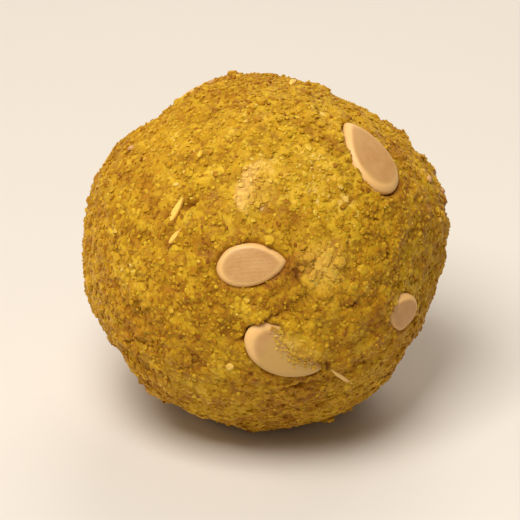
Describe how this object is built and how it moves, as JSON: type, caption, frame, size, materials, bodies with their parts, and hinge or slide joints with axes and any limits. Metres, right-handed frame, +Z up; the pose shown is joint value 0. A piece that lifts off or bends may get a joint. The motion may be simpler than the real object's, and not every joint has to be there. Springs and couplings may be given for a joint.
{
  "type": "ladoo",
  "caption": "Hand-rolled ladoo sweet: a ball of pressed golden gram-flour crumbs set with pale melon seeds, resting on a small flat.",
  "frame": {"origin": "middle of the small flat that the ladoo stands on, at the height of the surface under it", "axes": "+Z up, -Y towards the side that the picture shows, +X to that view's right"},
  "size_m": [0.0438, 0.0429, 0.0408],
  "materials": {
    "gram_crumb": "matte",
    "melon_seed": "satin"
  },
  "bodies": {
    "root": {"ladoo": "gram_crumb"}
  },
  "joints": []
}
